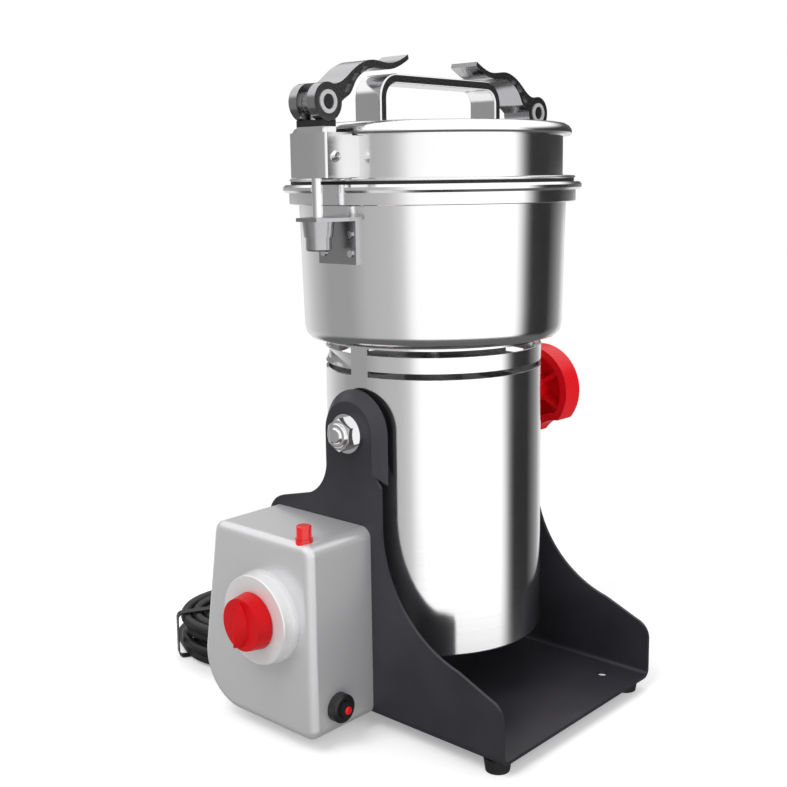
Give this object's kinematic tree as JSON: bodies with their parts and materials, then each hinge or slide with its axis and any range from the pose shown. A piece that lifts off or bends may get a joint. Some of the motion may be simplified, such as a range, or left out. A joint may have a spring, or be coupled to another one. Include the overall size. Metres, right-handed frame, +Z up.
{
  "type": "electric grain mill",
  "caption": "Tilting electric grain mill: motor housing and bladed bowl with a latched lid, pivoted in a folded bracket with a timer box.",
  "frame": {"origin": "on the surface it stands on, under the middle of the overall box measured without the cord", "axes": "+Z up along the mill axis at rest, -Y the front it tilts towards, X along the pivot with the control box at -X"},
  "size_m": [0.267, 0.3141, 0.3887],
  "materials": {
    "bracket_paint": "satin dark grey powder coat",
    "rubber": "matt",
    "box_silver": "satin silver",
    "bright_steel": "polished",
    "bezel_metal": "satin",
    "black_plastic": "matt",
    "lamp_red": "gloss",
    "knob_red": "semi-gloss",
    "polished_steel": "polished stainless",
    "cast_alloy": "as cast",
    "core_iron": "varnished laminations",
    "copper": "enamelled copper",
    "brass": "satin",
    "blade_steel": "ground",
    "pin_dark": "dark",
    "lever_metal": "dark satin with bright top",
    "cord_black": "matt PVC",
    "tie_white": "matt",
    "plug_black": "matt"
  },
  "bodies": {
    "stand": {"bracket": "bracket_paint", "rubber_feet": "rubber", "control_box": "box_silver", "box_screws": "bright_steel", "dial_bezel": "bezel_metal", "timer_switch": "black_plastic", "indicator_lamp": "lamp_red", "breaker_body": "black_plastic", "breaker_ring": "black_plastic", "cord_gland": "black_plastic", "power_cord": "cord_black", "cord_coil": "cord_black", "cord_tie": "tie_white", "plug": "plug_black"},
    "timer": {"timer_knob": "knob_red", "timer_spindle": "bright_steel"},
    "reset": {"reset_button": "lamp_red"},
    "mill": {"motor_housing": "polished_steel", "housing_base": "black_plastic", "pivot_bosses": "bright_steel", "pivot_bolt": "bright_steel", "pivot_washer": "bright_steel", "pivot_nut": "bright_steel", "lock_stud": "bright_steel", "lower_end_bracket": "cast_alloy", "upper_end_bracket": "cast_alloy", "motor_bearings": "bright_steel", "motor_stator": "core_iron", "stator_windings": "copper", "brush_holders": "brass", "carbon_brushes": "black_plastic", "grinding_bowl": "polished_steel", "shaft_seal": "black_plastic", "catch_brackets": "polished_steel", "catch_rivets": "bright_steel", "catch_nuts": "bright_steel"},
    "lock": {"lock_knob": "knob_red"},
    "rotor": {"rotor_shaft": "bright_steel", "rotor_core": "core_iron", "commutator": "copper", "cooling_fan": "black_plastic", "lower_blade": "blade_steel", "upper_blade": "blade_steel", "blade_spacers": "bright_steel", "blade_nut": "bright_steel"},
    "lid_group": {"lid": "polished_steel", "lid_liner": "polished_steel", "lid_seal": "rubber", "lid_handle": "polished_steel", "handle_screws": "bright_steel", "latch_channels": "polished_steel", "latch_blocks": "bright_steel", "latch_screws": "bright_steel", "latch_pads": "rubber", "latch_rods": "bright_steel", "latch_pins": "pin_dark"},
    "left_latch": {"left_lever": "lever_metal", "left_bushes": "bright_steel"},
    "right_latch": {"right_lever": "lever_metal", "right_bushes": "bright_steel"}
  },
  "joints": [
    {"name": "body_tilt", "type": "hinge", "parent": "stand", "child": "mill", "pos_m": [0.01595, 0.0109, 0.1757], "axis": [1, 0, 0], "range_deg": [0, 110]},
    {"name": "timer_turn", "type": "hinge", "parent": "stand", "child": "timer", "pos_m": [-0.10845, 0.0309, 0.0753], "axis": [1, 0, 0], "range_deg": [0, 300]},
    {"name": "reset_press", "type": "slide", "parent": "stand", "child": "reset", "axis": [0, 1, 0], "range_m": [0, 0.002], "stiffness_N_per_m": 300, "springref_m": -0.001},
    {"name": "lock_turn", "type": "hinge", "parent": "mill", "child": "lock", "pos_m": [0.11745, 0.0109, 0.1757], "axis": [1, 0, 0], "continuous": true},
    {"name": "rotor_spin", "type": "hinge", "parent": "mill", "child": "rotor", "pos_m": [0.01595, 0.0109, 0.236], "axis": [0, 0, 1], "continuous": true},
    {"name": "lid_lift", "type": "slide", "parent": "mill", "child": "lid_group", "axis": [0, 0, 1], "range_m": [0, 0.11]},
    {"name": "left_latch_open", "type": "hinge", "parent": "lid_group", "child": "left_latch", "pos_m": [-0.07955, 0.0109, 0.3603], "axis": [0, -1, 0], "range_deg": [0, 130]},
    {"name": "right_latch_open", "type": "hinge", "parent": "lid_group", "child": "right_latch", "pos_m": [0.11145, 0.0109, 0.3603], "axis": [0, 1, 0], "range_deg": [0, 130]}
  ]
}
